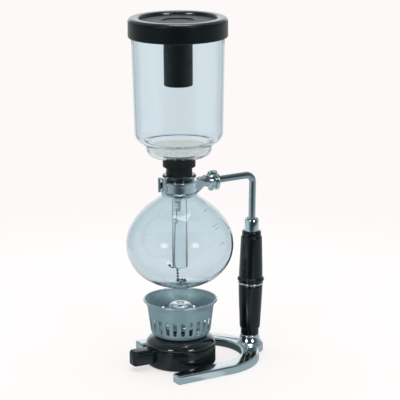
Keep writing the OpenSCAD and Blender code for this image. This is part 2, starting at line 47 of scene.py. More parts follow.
# Sizes shared with the CAD model, in millimetres
RING_X, RING_IN, RING_OUT = 22.0, 39.5, 56.4
POST_X, POST_LEAN = 75.8, 1.2
ARM_Z, ARM_RISE = 175.8, 1.2
GRIP_Z0, GRIP_RING_Z, GRIP_RING_H, GRIP_Z1 = 17.2, 67.8, 2.6, 121.4
FERRULE_R, FERRULE_H = 6.95, 12.0
PIPE_R, BEND_R = 3.4, 7.5
FLANGE_X, FLANGE_R, NUT_LEN = 38.3, 9.8, 7.0
BULB_R, BULB_MID, BULB_Z0, RIM_Z, NECK_R, NECK_BORE = 51.1, 119.0, 77.5, 186.8, 14.4, 12.6
STEM_R, STEM_BORE, STEM_Z0 = 7.4, 6.1, 95.7
HOOK_TURN = math.radians(153)
BEAD_R = 1.3

POST = Matrix.Translation((POST_X, 0, 0)) @ Matrix.Rotation(math.radians(POST_LEAN), 4, "Y")
ARM = Matrix.Translation((0, 0, ARM_Z)) @ Matrix.Rotation(math.radians(90 - ARM_RISE), 4, "Y")


# ---------------------------------------------------------------- outlines, in millimetres

def arc(cx, cy, rx, a0, a1, n=8, ry=None):
    ry = rx if ry is None else ry
    return [(cx + rx * math.cos(math.radians(a0 + (a1 - a0) * i / n)),
             cy + ry * math.sin(math.radians(a0 + (a1 - a0) * i / n))) for i in range(n + 1)]


def bezier(p0, p1, p2, p3, n=8):
    out = []
    for i in range(n + 1):
        t = i / n
        k = ((1 - t) ** 3, 3 * t * (1 - t) ** 2, 3 * t * t * (1 - t), t ** 3)
        out.append(tuple(sum(w * p[j] for w, p in zip(k, (p0, p1, p2, p3))) for j in range(len(p0))))
    return out


def tidy(line, least=0.02):
    out = [line[0]]
    for p in line[1:]:
        if math.dist(p, out[-1]) > least:
            out.append(p)
    return out


def offset(line, t):
    """The line moved to its right-hand side by t, or by t(i) at each point."""
    out = []
    for i, p in enumerate(line):
        a, b = line[max(i - 1, 0)], line[min(i + 1, len(line) - 1)]
        dx, dy = b[0] - a[0], b[1] - a[1]
        d = math.hypot(dx, dy)
        k = t(i) if callable(t) else t
        out.append((max(p[0] + dy / d * k, 0.0), p[1] - dx / d * k))
    return out


def through(points, n=6):
    """A smooth line through points of any dimension."""
    out = []
    last = len(points) - 1
    for i in range(last):
        p = [points[max(0, min(last, i + k))] for k in (-1, 0, 1, 2)]
        for s in range(n):
            t = s / n
            out.append(tuple(0.5 * (2 * b + (c - a) * t + (2 * a - 5 * b + 4 * c - d) * t * t
                                    + (3 * b - a - 3 * c + d) * t ** 3) for a, b, c, d in zip(*p)))
    return out + [tuple(points[-1])]


# ---------------------------------------------------------------- meshes

def finish_mesh(name, bm, material, place=None, sharp=38):
    bmesh.ops.remove_doubles(bm, verts=bm.verts, dist=0.002 * MM)
    bmesh.ops.dissolve_degenerate(bm, edges=bm.edges, dist=0.001 * MM)
    bmesh.ops.recalc_face_normals(bm, faces=bm.faces)
    for e in bm.edges:
        if len(e.link_faces) == 2 and e.calc_face_angle(0) > math.radians(sharp):
            e.smooth = False
    for f in bm.faces:
        f.smooth = True
    mesh = bpy.data.meshes.new(name)
    bm.to_mesh(mesh)
    bm.free()
    if place is not None:
        m = place.copy()
        m.translation = m.translation * MM
        mesh.transform(m)
    mesh.materials.append(material)
    ob = bpy.data.objects.new(name, mesh)
    bpy.context.scene.collection.objects.link(ob)
    return ob


def add_lathe(bm, line, seg=96, closed=True):
    """Turns an outline of (radius, height) about Z. Points on the axis become poles."""
    rings = []
    for r, z in line:
        if r < 1e-4:
            rings.append([bm.verts.new((0, 0, z * MM))])
        else:
            rings.append([bm.verts.new((r * MM * math.cos(2 * math.pi * k / seg),
                                        r * MM * math.sin(2 * math.pi * k / seg), z * MM))
                          for k in range(seg)])
    pairs = list(zip(rings, rings[1:]))
    if closed and not (len(rings[0]) == 1 and len(rings[-1]) == 1):
        pairs.append((rings[-1], rings[0]))
    for a, b in pairs:
        for k in range(seg):
            j = (k + 1) % seg
            if len(a) == 1 and len(b) == 1:
                break
            if len(a) == 1:
                bm.faces.new((a[0], b[k], b[j]))
            elif len(b) == 1:
                bm.faces.new((a[k], b[0], a[j]))
            else:
                bm.faces.new((a[k], b[k], b[j], a[j]))


def lathe(name, line, material, seg=96, place=None, closed=True, sharp=38):
    bm = bmesh.new()
    add_lathe(bm, tidy(line), seg, closed)
    return finish_mesh(name, bm, material, place, sharp)


def add_sweep(bm, path, radius, sides=12):
    """A round wire of one radius along a path, both in millimetres."""
    pts = [Vector(p) for p in path]
    last = len(pts) - 1
    tang = [(pts[min(i + 1, last)] - pts[max(i - 1, 0)]).normalized() for i in range(last + 1)]
    side = tang[0].orthogonal().normalized()
    rings = []
    for point, along in zip(pts, tang):
        side = (side - side.dot(along) * along).normalized()
        up = along.cross(side)
        spokes = [2 * math.pi * k / sides for k in range(sides)]
        rings.append([bm.verts.new((point + radius * (math.cos(t) * side + math.sin(t) * up)) * MM)
                      for t in spokes])
    for a, b in zip(rings, rings[1:]):
        for k in range(sides):
            j = (k + 1) % sides
            bm.faces.new((a[k], a[j], b[j], b[k]))
    bm.faces.new(rings[0])
    bm.faces.new(rings[-1])


def sweep(name, path, radius, material, sides=12):
    bm = bmesh.new()
    add_sweep(bm, path, radius, sides)
    return finish_mesh(name, bm, material, sharp=60)


def add_ball(bm, at, r, seg=16):
    m = Matrix.Translation(Vector(at) * MM)
    bmesh.ops.create_uvsphere(bm, u_segments=seg, v_segments=seg // 2, radius=r * MM, matrix=m)


def add_prism(bm, outline, levels, place=None):
    """Stacks a flat outline at levels of (inset, height), with flat caps; place moves it."""
    n = len(outline)
    area = sum(a[0] * b[1] - b[0] * a[1] for a, b in zip(outline, outline[1:] + outline[:1])) / 2
    turn = 1 if area > 0 else -1
    rings = []
    for inset, z in levels:
        ring = []
        for i in range(n):
            a, p, b = outline[i - 1], outline[i], outline[(i + 1) % n]
            d1 = Vector((p[0] - a[0], p[1] - a[1])).normalized()
            d2 = Vector((b[0] - p[0], b[1] - p[1])).normalized()
            n1, n2 = Vector((-d1.y, d1.x)) * turn, Vector((-d2.y, d2.x)) * turn
            m = (n1 + n2) / max(1 + n1.dot(n2), 0.35)
            v = Vector((p[0] + m.x * inset, p[1] + m.y * inset, z))
            ring.append(bm.verts.new((place @ v if place is not None else v) * MM))
        rings.append(ring)
    for a, b in zip(rings, rings[1:]):
        for k in range(n):
            j = (k + 1) % n
            bm.faces.new((a[k], a[j], b[j], b[k]))
    caps = [bm.faces.new(rings[0]), bm.faces.new(rings[-1])]
    bmesh.ops.triangulate(bm, faces=caps, ngon_method="EAR_CLIP")


def cut(ob, cutters):
    """Takes the cutters out of ob for good, and deletes them."""
    for c in cutters:
        mod = ob.modifiers.new("cut", "BOOLEAN")
        mod.operation, mod.object, mod.solver = "DIFFERENCE", c, "EXACT"
    bpy.context.view_layer.update()
    dg = bpy.context.evaluated_depsgraph_get()
    mesh = bpy.data.meshes.new_from_object(ob.evaluated_get(dg))
    ob.modifiers.clear()
    ob.data = mesh
    for c in cutters:
        bpy.data.objects.remove(c)


# ---------------------------------------------------------------- materials

def material(name, color, rough, metallic=0.0, ior=1.5, coat=0.0, transmission=0.0, sheen=0.0,
             specular=0.5):
    mat = bpy.data.materials.new(name)
    mat.use_nodes = True
    b = mat.node_tree.nodes["Principled BSDF"]
    b.inputs["Base Color"].default_value = (*color, 1)
    b.inputs["Roughness"].default_value = rough
    b.inputs["Metallic"].default_value = metallic
    b.inputs["IOR"].default_value = ior
    b.inputs["Coat Weight"].default_value = coat
    b.inputs["Coat Roughness"].default_value = 0.05
    b.inputs["Transmission Weight"].default_value = transmission
    b.inputs["Sheen Weight"].default_value = sheen
    b.inputs["Specular IOR Level"].default_value = specular
    return mat


def put(mat, kind, **settings):
    node = mat.node_tree.nodes.new(kind)
    for k, v in settings.items():
        if k in node.inputs:
            node.inputs[k].default_value = v
        else:
            setattr(node, k, v)
    return node


def place_coords(mat, scale=(1, 1, 1)):
    co = put(mat, "ShaderNodeTexCoord")
    mp = put(mat, "ShaderNodeMapping")
    mp.inputs["Scale"].default_value = scale
    mat.node_tree.links.new(co.outputs["Object"], mp.inputs["Vector"])
    return mp.outputs["Vector"]


def noise(mat, scale, detail=4.0, stretch=(1, 1, 1), roughness=0.55):
    n = put(mat, "ShaderNodeTexNoise", Scale=scale, Detail=detail, Roughness=roughness)
    mat.node_tree.links.new(place_coords(mat, stretch), n.inputs["Vector"])
    return n.outputs["Fac"]


def map_range(mat, source, lo, hi, to_lo=0.0, to_hi=1.0, smooth="LINEAR"):
    mr = put(mat, "ShaderNodeMapRange", interpolation_type=smooth)
    for socket, value in (("From Min", lo), ("From Max", hi), ("To Min", to_lo), ("To Max", to_hi)):
        mr.inputs[socket].default_value = value
    mat.node_tree.links.new(source, mr.inputs["Value"])
    return mr


def vary_rough(mat, source, lo, hi):
    result = map_range(mat, source, 0.3, 0.7, lo, hi).outputs["Result"]
    mat.node_tree.links.new(result, mat.node_tree.nodes["Principled BSDF"].inputs["Roughness"])


def vary_color(mat, source, dark, light, lo=0.35, hi=0.65):
    ramp = put(mat, "ShaderNodeValToRGB")
    for stop, at, tone in zip(ramp.color_ramp.elements, (lo, hi), (dark, light)):
        stop.position = at
        stop.color = (*tone, 1)
    link = mat.node_tree.links.new
    link(source, ramp.inputs["Fac"])
    link(ramp.outputs["Color"], mat.node_tree.nodes["Principled BSDF"].inputs["Base Color"])


def add_bump(mat, source, strength, distance):
    bump = put(mat, "ShaderNodeBump")
    bump.inputs["Strength"].default_value = strength
    bump.inputs["Distance"].default_value = distance
    link = mat.node_tree.links.new
    link(source, bump.inputs["Height"])
    bsdf = mat.node_tree.nodes["Principled BSDF"]
    old = bsdf.inputs["Normal"].links
    if old:
        link(old[0].from_socket, bump.inputs["Normal"])
    link(bump.outputs["Normal"], bsdf.inputs["Normal"])


chrome = material("chrome", (0.76, 0.84, 0.86), 0.05, metallic=1.0)
vary_rough(chrome, noise(chrome, 90, 5), 0.035, 0.085)
add_bump(chrome, noise(chrome, 55, 2), 0.04, 0.0004)

pipe_chrome = material("pipe_chrome", (0.50, 0.575, 0.60), 0.08, metallic=1.0)
vary_rough(pipe_chrome, noise(pipe_chrome, 90, 5), 0.06, 0.12)

cast_chrome = material("cast_chrome", (0.78, 0.86, 0.88), 0.06, metallic=1.0)
vary_rough(cast_chrome, noise(cast_chrome, 60, 6), 0.09, 0.17)
add_bump(cast_chrome, noise(cast_chrome, 38, 3), 0.10, 0.0006)

steel = material("steel", (0.55, 0.60, 0.62), 0.28, metallic=1.0)
vary_rough(steel, noise(steel, 700, 3), 0.2, 0.36)

wire_steel = material("wire_steel", (0.13, 0.145, 0.15), 0.24, metallic=1.0)
vary_rough(wire_steel, noise(wire_steel, 900, 2), 0.16, 0.32)

aluminium = material("aluminium", (0.52, 0.67, 0.71), 0.42, metallic=1.0)
vary_rough(aluminium, noise(aluminium, 320, 5), 0.48, 0.62)
add_bump(aluminium, noise(aluminium, 2600, 3), 0.18, 0.0001)
add_bump(aluminium, noise(aluminium, 26, 3), 0.10, 0.0005)

rim_aluminium = material("rim_aluminium", (0.72, 0.80, 0.82), 0.3, metallic=1.0)
vary_rough(rim_aluminium, noise(rim_aluminium, 320, 5), 0.24, 0.36)

gloss_black = material("gloss_black", (0.004, 0.0085, 0.0092), 0.14, specular=0.55)
vary_rough(gloss_black, noise(gloss_black, 160, 6), 0.1, 0.2)
add_bump(gloss_black, noise(gloss_black, 46, 3), 0.05, 0.0006)

satin_black = material("satin_black", (0.0045, 0.0085, 0.0095), 0.33, specular=0.3)
vary_rough(satin_black, noise(satin_black, 260, 5), 0.28, 0.4)
add_bump(satin_black, noise(satin_black, 1500, 3), 0.10, 0.00012)

socket_black = material("socket_black", (0.004, 0.0085, 0.0092), 0.16, specular=0.14)
vary_rough(socket_black, noise(socket_black, 160, 6), 0.12, 0.22)

rim_black = material("rim_black", (0.0045, 0.0085, 0.0095), 0.24, specular=0.9, coat=0.8)
vary_rough(rim_black, noise(rim_black, 260, 5), 0.2, 0.3)

rubber = material("rubber", (0.008, 0.013, 0.0135), 0.55, specular=0.4)
vary_rough(rubber, noise(rubber, 300, 5), 0.45, 0.62)
add_bump(rubber, noise(rubber, 1200, 3), 0.12, 0.0001)

glass = material("glass", (0.935, 0.975, 0.99), 0.0, ior=1.47, transmission=1.0, specular=0.3)
stem_glass = material("stem_glass", (0.975, 0.995, 1.0), 0.0, ior=1.47, transmission=1.0, specular=0.3)
bulb_glass = material("bulb_glass", (0.827, 0.897, 0.924), 0.0, ior=1.47, transmission=1.0, specular=0.3)
for mat in (glass, stem_glass, bulb_glass):
    add_bump(mat, noise(mat, 16, 2), 0.05, 0.001)
    body = put(mat, "ShaderNodeVolumeAbsorption", Density=8.0 if mat is stem_glass else 60.0)
    body.inputs["Color"].default_value = (0.30, 0.44, 0.505, 1)
    mat.node_tree.links.new(body.outputs["Volume"],
                            mat.node_tree.nodes["Material Output"].inputs["Volume"])

lamp_glass = material("lamp_glass", (0.05, 0.065, 0.07), 0.04, ior=1.7, coat=0.6, transmission=0.8)
add_bump(lamp_glass, noise(lamp_glass, 30, 2), 0.06, 0.001)

paint = material("mark_paint", (0.40, 0.47, 0.50), 0.6)
vary_rough(paint, noise(paint, 500, 2), 0.5, 0.7)

cloth = material("filter_flannel", (0.52, 0.52, 0.48), 0.95, sheen=0.35)
vary_color(cloth, noise(cloth, 900, 6, roughness=0.75), (0.42, 0.45, 0.43), (0.95, 0.96, 0.93))
add_bump(cloth, noise(cloth, 1400, 5), 0.6, 0.0004)
# Painted light: a slight warm glow brightens the cloth seen through the tinted funnel walls
cloth_glow = cloth.node_tree.nodes["Principled BSDF"]
cloth_glow.inputs["Emission Color"].default_value = (0.27, 0.235, 0.19, 1)
cloth_glow.inputs["Emission Strength"].default_value = 1.0

cotton = material("wick_cotton", (0.80, 0.77, 0.70), 0.95, sheen=0.4)
vary_color(cotton, noise(cotton, 700, 5, stretch=(1, 1, 0.2)), (0.52, 0.49, 0.43), (0.88, 0.86, 0.80))
add_bump(cotton, noise(cotton, 1300, 4, stretch=(1, 1, 0.15)), 0.8, 0.0005)


# ---------------------------------------------------------------- stand

def circle_cross(c1, r1, c2, r2):
    """Angle, seen from each centre, at which two circles on the X axis cross above it."""
    d = c2 - c1
    a = (r1 * r1 - r2 * r2 + d * d) / (2 * d)
    h = math.sqrt(r1 * r1 - a * a)
    return math.degrees(math.atan2(h, a)), math.degrees(math.atan2(h, a - d))


def base_outline():
    toe_in, toe_out = 45.5, 59.2
    toes = {-1: -32.5, 1: -21.0}
    boss_r = 13.4
    ring_a, boss_a = circle_cross(RING_X, RING_OUT, POST_X, boss_r)
    sides = {}
    for side, toe_x in toes.items():
        along = (toe_x - 20.0) / (toes[-1] - 20.0)
        y_in, y_out = RING_IN + along * (toe_in - RING_IN), RING_OUT + along * (toe_out - RING_OUT)
        outer = [(toe_x, y_in + 2.7)] + arc(toe_x + 2.3, y_out - 2.5, 2.3, 170, 86, 8)
        outer += arc(RING_X, 0, RING_OUT, 92, ring_a, 40)
        outer += arc(POST_X, 0, boss_r, boss_a, 0, 22)[1:]
        inner = arc(toe_x + 2.3, y_in + 2.4, 2.3, 190, 276, 8) + arc(RING_X, 0, RING_IN, 92, 0, 44)
        sides[side] = [[(x, side * y) for x, y in line] for line in (outer, inner)]
    outer = sides[1][0] + list(reversed(sides[-1][0][:-1]))
    inner = sides[-1][1] + list(reversed(sides[1][1][:-1]))
    return tidy(outer + inner, 0.05)


bm = bmesh.new()
edge = [(0.7, 0.0), (0.2, 0.2), (0.0, 0.7)]
edge += [(0.0, 6.75), (0.05, 6.9), (0.35, 7.05), (0.5, 7.25), (0.62, 7.6), (0.95, 7.9), (1.5, 8.0)]
add_prism(bm, base_outline(), edge)
base = finish_mesh("base_casting", bm, cast_chrome, sharp=50)
bm = bmesh.new()
add_lathe(bm, [(0, -1), (6.6, -1), (6.6, 6.8), (2.5, 6.8), (2.5, 30), (0, 30)], 48)
hole = finish_mesh("hole", bm, cast_chrome, Matrix.Translation((POST_X, 0, 0)))
dome_line = [(2.5, 6.9), (13.15, 6.9)]
dome_line += through([(13.15, 7.3), (12.8, 8.1), (12.0, 8.8), (11.1, 9.7), (10.35, 11.2), (9.8, 13.0),
                      (9.4, 14.8), (9.2, 16.3)], 5)
dome_line += [(9.05, 16.8), (8.7, 17.05), (2.5, 17.1)]
dome = lathe("base_boss", dome_line, cast_chrome, 96, Matrix.Translation((POST_X, 0, 0)))
cut(base, [hole])
for ob in (base, dome):
    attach(ob, "stand")
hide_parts("base_frame")

lower_line = [(2.5, GRIP_Z0), (8.4, GRIP_Z0), (8.75, GRIP_Z0 + 0.35), (8.85, 22.6), (9.05, 23.2),
              (9.5, 23.65), (9.8, 24.15)]
lower_line += through([(9.9, 24.7), (10.1, 27.5), (10.5, 36), (10.95, 45), (11.35, 54), (11.65, 62),
                       (11.75, 66.2)], 5)
lower_line += [(11.6, 66.9), (11.2, GRIP_RING_Z - 0.05), (2.5, GRIP_RING_Z - 0.05)]
lower_grip = lathe("grip_lower_molded", lower_line, gloss_black, 96, POST)
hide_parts("lower_grip")

ring_line = [(2.5, GRIP_RING_Z), (11.0, GRIP_RING_Z)]
ring_line += arc(11.35, GRIP_RING_Z + GRIP_RING_H / 2, 1.25, -88, 88, 12)
ring_line += [(11.0, GRIP_RING_Z + GRIP_RING_H), (2.5, GRIP_RING_Z + GRIP_RING_H)]
grip_ring = lathe("grip_ring_polished", ring_line, chrome, 96, POST)
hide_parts("grip_ring")

z0 = GRIP_RING_Z + GRIP_RING_H + 0.05
upper_line = [(2.5, z0), (11.8, z0)] + arc(10.9, z0 + 2.45, 2.2, -68, 62, 12)
upper_line += [(11.78, z0 + 4.7), (11.66, z0 + 5.2)]
upper_line += through([(11.62, z0 + 6.0), (11.5, 82), (11.15, 92), (10.75, 104), (10.4, GRIP_Z1 - 8.6),
                       (10.25, GRIP_Z1 - 6.3)], 5)
upper_line += [(10.1, GRIP_Z1 - 5.8), (9.7, GRIP_Z1 - 5.45), (9.45, GRIP_Z1 - 5.2), (9.38, GRIP_Z1 - 4.7),
               (9.25, GRIP_Z1 - 1.0), (9.0, GRIP_Z1 - 0.3), (8.5, GRIP_Z1), (2.5, GRIP_Z1)]
upper_grip = lathe("grip_upper_molded", upper_line, gloss_black, 96, POST)
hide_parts("upper_grip")

top = GRIP_Z1 + FERRULE_H
ferrule_line = [(3.5, GRIP_Z1), (6.5, GRIP_Z1), (FERRULE_R, GRIP_Z1 + 0.3), (FERRULE_R, top - 0.5),
                (FERRULE_R - 0.2, top - 0.1),
                (FERRULE_R - 0.5, top), (FERRULE_R - 0.9, top - 0.15), (FERRULE_R - 1.1, top - 0.6),
                (FERRULE_R - 1.1, top - 3.8), (3.5, top - 3.9)]
ferrule = lathe("ferrule_turned", ferrule_line, chrome, 64, POST)
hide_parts("ferrule")


def pipe_path():
    """The pipe's centre line: up the leaning post, round the bend, and back along the rising arm."""
    up = Vector((math.sin(math.radians(POST_LEAN)), 0, math.cos(math.radians(POST_LEAN))))
    out = Vector((math.cos(math.radians(ARM_RISE)), 0, math.sin(math.radians(ARM_RISE))))
    foot = Vector((POST_X, 0, 0))
    start = Vector((0, 0, ARM_Z))
    # start + s * out = foot + t * up
    det = out.x * up.z - out.z * up.x
    s = ((foot.x - start.x) * up.z - (foot.z - start.z) * up.x) / det
    cross = start + s * out
    turn = math.radians(90 + ARM_RISE + POST_LEAN)
    trim = BEND_R * math.tan(turn / 2)
    a, b = cross - trim * up, cross - trim * out
    centre = a - BEND_R * Vector((up.z, 0, -up.x))
    path = [foot + (GRIP_Z1 + 0.7) * up, foot + 150 * up, foot + 165 * up, a]
    spoke = a - centre
    for i in range(1, 15):
        q = Matrix.Rotation(-turn * i / 15, 3, "Y")
        path.append(centre + q @ spoke)
    return path + [b, start + 60 * out, start + (FLANGE_X + 1.2) * out]


pipe = sweep("arm_pipe_bent", pipe_path(), PIPE_R, pipe_chrome, 40)
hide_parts("arm_pipe")

flange_line = [(0, FLANGE_X - 1.0), (FLANGE_R - 0.7, FLANGE_X - 1.0)]
flange_line += arc(FLANGE_R - 0.7, FLANGE_X, 0.7, -90, 90, 8, ry=1.0)
flange_line += [(5.2, FLANGE_X + 1.0), (4.6, FLANGE_X + 1.5), (3.3, FLANGE_X + 1.6), (0, FLANGE_X + 1.6)]
flange = lathe("arm_flange_turned", flange_line, chrome, 80, ARM)
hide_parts("arm_flange")

for ob, name in ((lower_grip, "black_plastic"), (upper_grip, "black_plastic"), (grip_ring, "chrome"),
                 (ferrule, "chrome"),
                 (pipe, "chrome"), (flange, "chrome")):
    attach(ob, "stand")

wire_route = through([(14.5, -6, 180.6), (17.5, -7, 183.2), (20.5, -6.8, 182.8), (23, -6.2, 184),
                      (25.5, -5.8, 182.6), (27.8, -4.8, 181.8), (28.9, -3, 180.4)], 6)
keeper = sweep("clamp_keeper_wire", wire_route, 0.4, wire_steel, 10)
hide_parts("retaining_wire")
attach(keeper, "stand")

# Wing nut: a turned hub with two rounded ears
bm = bmesh.new()
x0, x1 = FLANGE_X - 1.4 - NUT_LEN, FLANGE_X - 1.4
add_lathe(bm, [(5.08, x0 + 0.3), (5.4, x0), (5.9, x0), (6.4, x0 + 0.35), (6.65, x0 + 1.0),
               (7.0, x1 - 1.2),
               (6.85, x1 - 0.4), (6.4, x1), (5.4, x1), (5.08, x1 - 0.3)], 64)
ear_turn = Matrix.Rotation(math.radians(90), 4, "X")
for side in (1, -1):
    ear = [(x * side, y) for x, y in arc(6.6, 0, 3.3, -118, 118, 26) + [(5.9, 3.0), (5.6, 0), (5.9, -3.0)]]
    move = Matrix.Translation((0, 1.25, (x0 + x1) / 2 + 0.35)) @ ear_turn
    add_prism(bm, ear, [(0.55, 0.0), (0.16, 0.16), (0.0, 0.55), (0.0, 1.95), (0.16, 2.34), (0.55, 2.5)],
              move)
wing = finish_mesh("wing_nut_cast", bm, chrome, ARM, 50)
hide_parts("wing_nut")
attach(wing, "wing_nut")

# ---------------------------------------------------------------- lower bulb

WALL, FLOOR_EXTRA, NECK_EXTRA = 1.25, 0.15, 0.55
FULLNESS = 2 / 2.15                      # 1 would make the bulb's floor an ellipse
outer = []
for i in range(45):
    a = math.radians(2 * i)
    outer.append((BULB_R * math.sin(a) ** FULLNESS,
                  BULB_MID - (BULB_MID - BULB_Z0) * math.cos(a) ** FULLNESS))
outer += through([(BULB_R, BULB_MID), (50, 128), (46.5, 137), (41.2, 145), (33.8, 153.1), (24.6, 160.7),
                  (20, 164.2),
                  (17, 165.9), (15.4, 167.5), (14.6, 169.3), (NECK_R, 171)], 6)


def bulb_wall(i):
    """The wall is thicker at the bulb's floor and towards its neck."""
    z = outer[i][1]
    return -(WALL + FLOOR_EXTRA * min(max((92 - z) / 14, 0.0), 1.0)
             + NECK_EXTRA * min(max((z - 160) / 11, 0.0), 1.0))


inner = offset(outer, bulb_wall)
inner[0] = (0.0, BULB_Z0 + WALL + FLOOR_EXTRA)
inner[-1] = (NECK_BORE, 171)
lip = [(NECK_R, RIM_Z - 3.9), (NECK_R + 0.3, RIM_Z - 3.3)]
lip += arc(NECK_R + 0.2, RIM_Z - 1.5, 1.5, -50, 90, 12)
lip += [(NECK_BORE + 0.9, RIM_Z), (NECK_BORE + 0.2, RIM_Z - 0.4), (NECK_BORE, RIM_Z - 1.2)]
bulb = lathe("bulb_blown", outer + lip + list(reversed(inner)), bulb_glass, 144, sharp=60)

# Plain level strokes printed on the bulb, one for each cup
bm = bmesh.new()
for height, half in ((155.0, 3.2), (142.5, 3.2), (139.8, 1.6), (126.0, 3.2)):
    r = next(p[0] for p in outer[44:] if p[1] >= height) + 0.12
    turn = math.radians(-90 + 24)
    across = [turn + half / r * (k / 4 - 1) for k in range(9)]
    add_sweep(bm, [(r * math.cos(a), r * math.sin(a), height + 0.22 * k) for k, a in enumerate(across)],
              0.28, 6)
marks = finish_mesh("bulb_marks", bm, paint, sharp=80)
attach(marks, "stand")
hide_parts("lower_bulb")
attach(bulb, "stand")

# ---------------------------------------------------------------- funnel, plug and filter

shell = [(43.8, 329.0), (43.4, 310), (42.9, 285), (42.3, 258), (41.8, 236)]
shell += arc(30.7, 228.3, 11.0, 0, -90, 20)
shell += [(34.0, 217.3)] + list(reversed(arc(32.8, 215.7, 1.6, 180, 90, 8)))
shell = tidy([p for p in shell if p[0] >= 32.7 or p[1] <= 217.0])
bowl = arc(22.8, 213.0, 8.4, 0, -88, 16) + list(reversed(arc(9.6, 202.3, 2.2, 180, 92, 8)))
stem = [(STEM_R, 200.0), (STEM_R, 96.3), (STEM_R - 0.15, 95.9), (STEM_R - 0.5, STEM_Z0)]
outer = shell + bowl
inner = offset(outer, 2.0)
inner = [p for p in inner if p[0] > STEM_BORE + 0.4]
line = arc(42.8, 329.0, 1.0, 180, 0, 10) + outer[1:] + stem
line += [(STEM_BORE + 0.3, STEM_Z0), (STEM_BORE, STEM_Z0 + 0.4), (STEM_BORE, 203.2)]
line += list(reversed(inner[1:]))
funnel = lathe("funnel_blown", line, glass, 144, sharp=60)
funnel.data.materials.append(stem_glass)
for poly in funnel.data.polygons:
    if poly.center.z < 0.2:
        poly.material_index = 1
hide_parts("funnel")
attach(funnel, "funnel")

plug_line = [(7.45, 173.0), (10.6, 173.0), (11.3, 173.4), (11.7, 174.4), (12.28, 186.6), (12.5, 187.4),
             (12.5, 188.4)]
plug_line += [(12.35, 189.5), (12.3, 191.6)]
plug_line += bezier((12.3, 192.2), (12.4, 193.5), (13.4, 194.0), (14.5, 194.2), 8)
plug_line += arc(14.5, 195.2, 1.0, -80, 0, 4) + arc(14.4, 201.8, 1.1, 0, 80, 6)
plug_line += [(12.6, 203.15), (10.4, 202.6), (8.6, 201.7), (7.45, 201.2)]
plug = lathe("plug_molded", plug_line, rubber, 96)
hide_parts("gasket")
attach(plug, "funnel")


def make_cloth():
    """The filter's flannel: flat over the dish, over its edge and gathered in pleats underneath."""
    profile = [(0.0, 213.8), (4, 213.8), (8, 213.8), (12, 213.8), (16, 213.8), (20, 213.8),
               (23.4, 213.75), (24.6, 213.5),
               (25.2, 212.9), (25.32, 212.0), (25.3, 211.0), (25.0, 210.2), (24.2, 209.2), (23.0, 208.4),
               (21.6, 208.02),
               (19.8, 207.98), (17.6, 207.98), (15.4, 207.98)]
    seg, pleats = 180, 30
    bm = bmesh.new()
    rings = []
    for i, (r, z) in enumerate(profile):
        if r == 0:
            rings.append([bm.verts.new((0, 0, z * MM))])
            continue
        ring = []
        for k in range(seg):
            t = 2 * math.pi * k / seg
            pull = max(0.0, (i - 8) / 9.0)
            wave = math.sin(pleats * t + 0.9 * math.sin(3 * t)) * 0.26 * pull
            dimple = 0.05 * math.sin(5 * t + r) * math.sin(r * 0.5) if i < 8 else 0.0
            rr = r + (wave * 0.5 if z > 208.1 else 0)
            zz = z + dimple - (0.26 * pull + wave if z < 208.6 else 0.0) * 0.5
            ring.append(bm.verts.new((rr * math.cos(t) * MM, rr * math.sin(t) * MM, zz * MM)))
        rings.append(ring)
    for k in range(seg):
        bm.faces.new((rings[0][0], rings[1][k], rings[1][(k + 1) % seg]))
    for a, b in zip(rings[1:], rings[2:]):
        for k in range(seg):
            j = (k + 1) % seg
            bm.faces.new((a[k], b[k], b[j], a[j]))
    ob = finish_mesh("filter_flannel", bm, cloth, sharp=80)
    mod = ob.modifiers.new("thickness", "SOLIDIFY")
    mod.thickness = 0.6 * MM
    mod.offset = 0
    return ob


flannel = make_cloth()
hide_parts("filter_cloth")
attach(flannel, "funnel")


def hook_side(r, z):
    return (r * math.cos(HOOK_TURN), r * math.sin(HOOK_TURN), z)


def spring_path():
    turns, steps, z0, z1, r = 24, 22, 151.0, 205.0, 3.1
    out = []
    for i in range(turns * steps + 1):
        f = i / (turns * steps)
        t = 2 * math.pi * i / steps
        drift = 2.4 * (1 - f)
        out.append((r * math.cos(t) + drift * math.cos(HOOK_TURN),
                    r * math.sin(t) + drift * math.sin(HOOK_TURN), z0 + (z1 - z0) * f))
    return out


spring = sweep("filter_spring_wound", spring_path(), 0.36, wire_steel, 8)
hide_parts("filter_spring")
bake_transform(spring)

line = [(2.6, 153), (2.9, 146), (3.7, 143.4)] + arc(3.6, 141.2, 1.5, 60, 330, 10)
line += [(4.2, 138.5), (4.6, 128), (5, 112), (4.9, 101), (4.4, 97.8), (3.6, 96.4)]
pull = sweep("filter_pull_wire", [hook_side(r, z) for r, z in through(line, 4)], 0.42, wire_steel, 10)
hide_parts("pull_wire")
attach(pull, "filter_pull")

bm = bmesh.new()
bend = through([(3.2, 95.5), (4.4, 95.0), (6, 94.7), (7.6, 94.75), (9, 95.4), (9.7, 96.2), (10, 97)], 5)
add_sweep(bm, [hook_side(r, z) for r, z in bend], 0.52, 12)
for end in (bend[0], bend[-1]):
    add_ball(bm, hook_side(*end), BEAD_R, 20)
hook = finish_mesh("filter_hook_beaded", bm, wire_steel, sharp=60)
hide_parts("hook")
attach(hook, "filter_pull")

beads = [(-2.2 + 0.1 * i, 1.2, 92.1 - 3.1 * i) for i in range(4)]
for i in range(7):
    t = math.radians(150 - 47 * i)
    beads.append((3.9 * math.cos(t) + 1.2, 3.9 * math.sin(t) - 0.4, 81 + 0.28 * (i % 2)))
bm = bmesh.new()
for b in beads:
    add_ball(bm, b, BEAD_R, 18)
links = [(-2.8, 1.4, 94.4)] + beads
for a, b in zip(links, links[1:]):
    add_sweep(bm, [a, b], 0.36, 8)
chain = finish_mesh("filter_bead_chain", bm, wire_steel, sharp=60)
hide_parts("bead_chain")
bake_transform(chain)

# ---------------------------------------------------------------- lid

